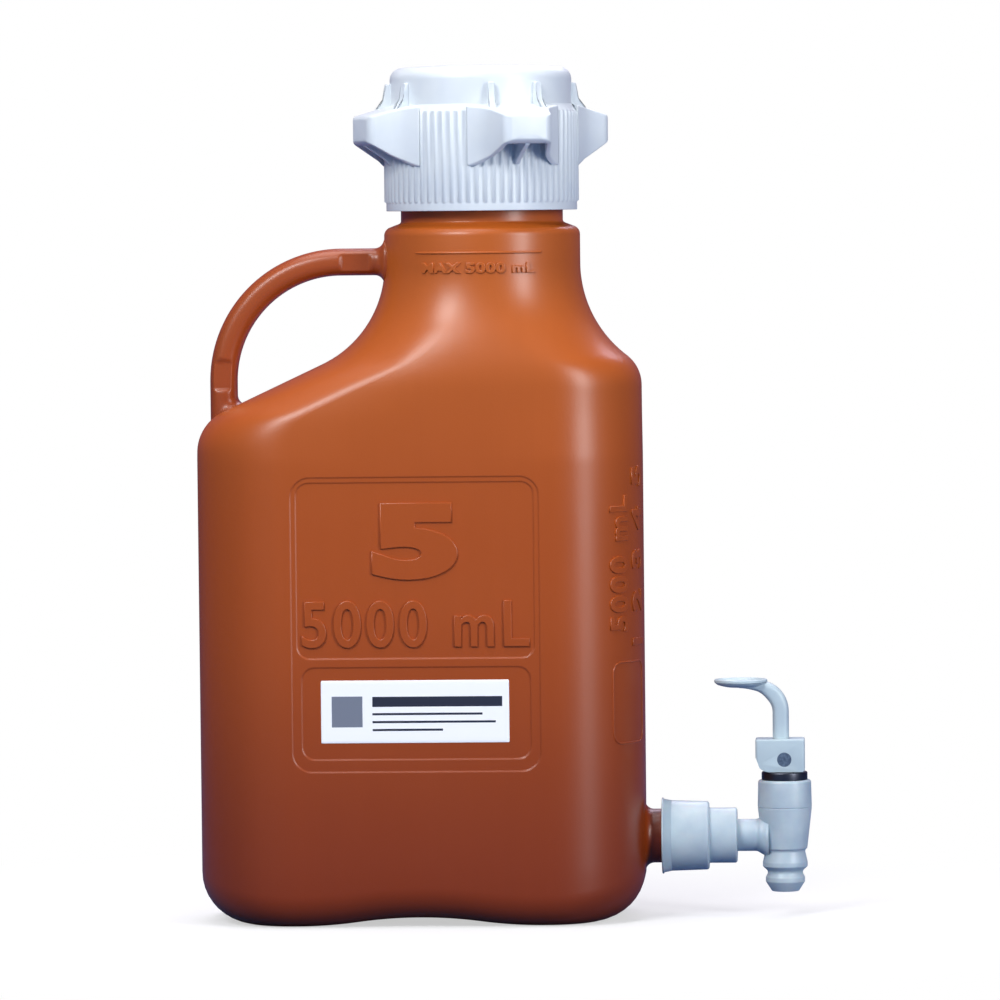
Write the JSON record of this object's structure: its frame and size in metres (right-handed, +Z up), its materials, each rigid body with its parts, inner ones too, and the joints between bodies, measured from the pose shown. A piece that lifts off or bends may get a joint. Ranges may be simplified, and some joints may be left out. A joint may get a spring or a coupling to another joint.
{
  "type": "carboy with spigot",
  "caption": "Amber five litre laboratory carboy with a winged screw cap, loop handle and lever spigot low on its side.",
  "frame": {"origin": "centre of the body's footprint, on the surface it stands on", "axes": "+Z up the bottle; +X towards the spigot; -Y is the face with the framed panel"},
  "size_m": [0.2805, 0.1156, 0.3923],
  "materials": {
    "amber_plastic": "satin amber blow-moulded polypropylene",
    "white_plastic": "satin white moulded polypropylene",
    "grey_plastic": "satin natural polypropylene, slightly milky",
    "steel": "polished stainless steel",
    "pin_grey": "matt moulded plastic",
    "seal": "matt elastomer",
    "label_paper": "smooth coated label"
  },
  "bodies": {
    "bottle": {"bottle": "amber_plastic", "label": "label_paper", "outlet_gasket": "seal", "outlet_nut": "grey_plastic", "spigot_body": "grey_plastic", "bonnet": "grey_plastic", "bonnet_ring": "steel", "stem_seal": "seal", "valve_spring": "steel"},
    "liner": {"cap_gasket": "seal"},
    "cap": {"cap": "white_plastic"},
    "stem": {"valve_stem": "grey_plastic", "valve_plug": "seal"},
    "lever": {"lever": "grey_plastic", "lever_pin": "pin_grey"}
  },
  "joints": [
    {"name": "cap_lift", "type": "slide", "parent": "bottle", "child": "liner", "axis": [0, 0, 1], "range_m": [0, 0.0092]},
    {"name": "cap_turn", "type": "hinge", "parent": "liner", "child": "cap", "pos_m": [0.0294, 0, 0.356], "axis": [0, 0, 1], "range_deg": [0, 540]},
    {"name": "stem_lift", "type": "slide", "parent": "bottle", "child": "stem", "axis": [0, 0, 1], "range_m": [0, 0.0036], "deforming": ["valve_spring"]},
    {"name": "lever_tilt", "type": "hinge", "parent": "stem", "child": "lever", "pos_m": [0.166, 0, 0.0722], "axis": [0, -1, 0], "range_deg": [0, 30], "stiffness_Nm_per_rad": 0.002, "springref_deg": -28.65}
  ],
  "couplings": [
    {"joint": "cap_lift", "follows": "cap_turn", "m_per_rad": 0.00095493},
    {"joint": "stem_lift", "follows": "lever_tilt", "m_per_rad": 0.0065}
  ]
}
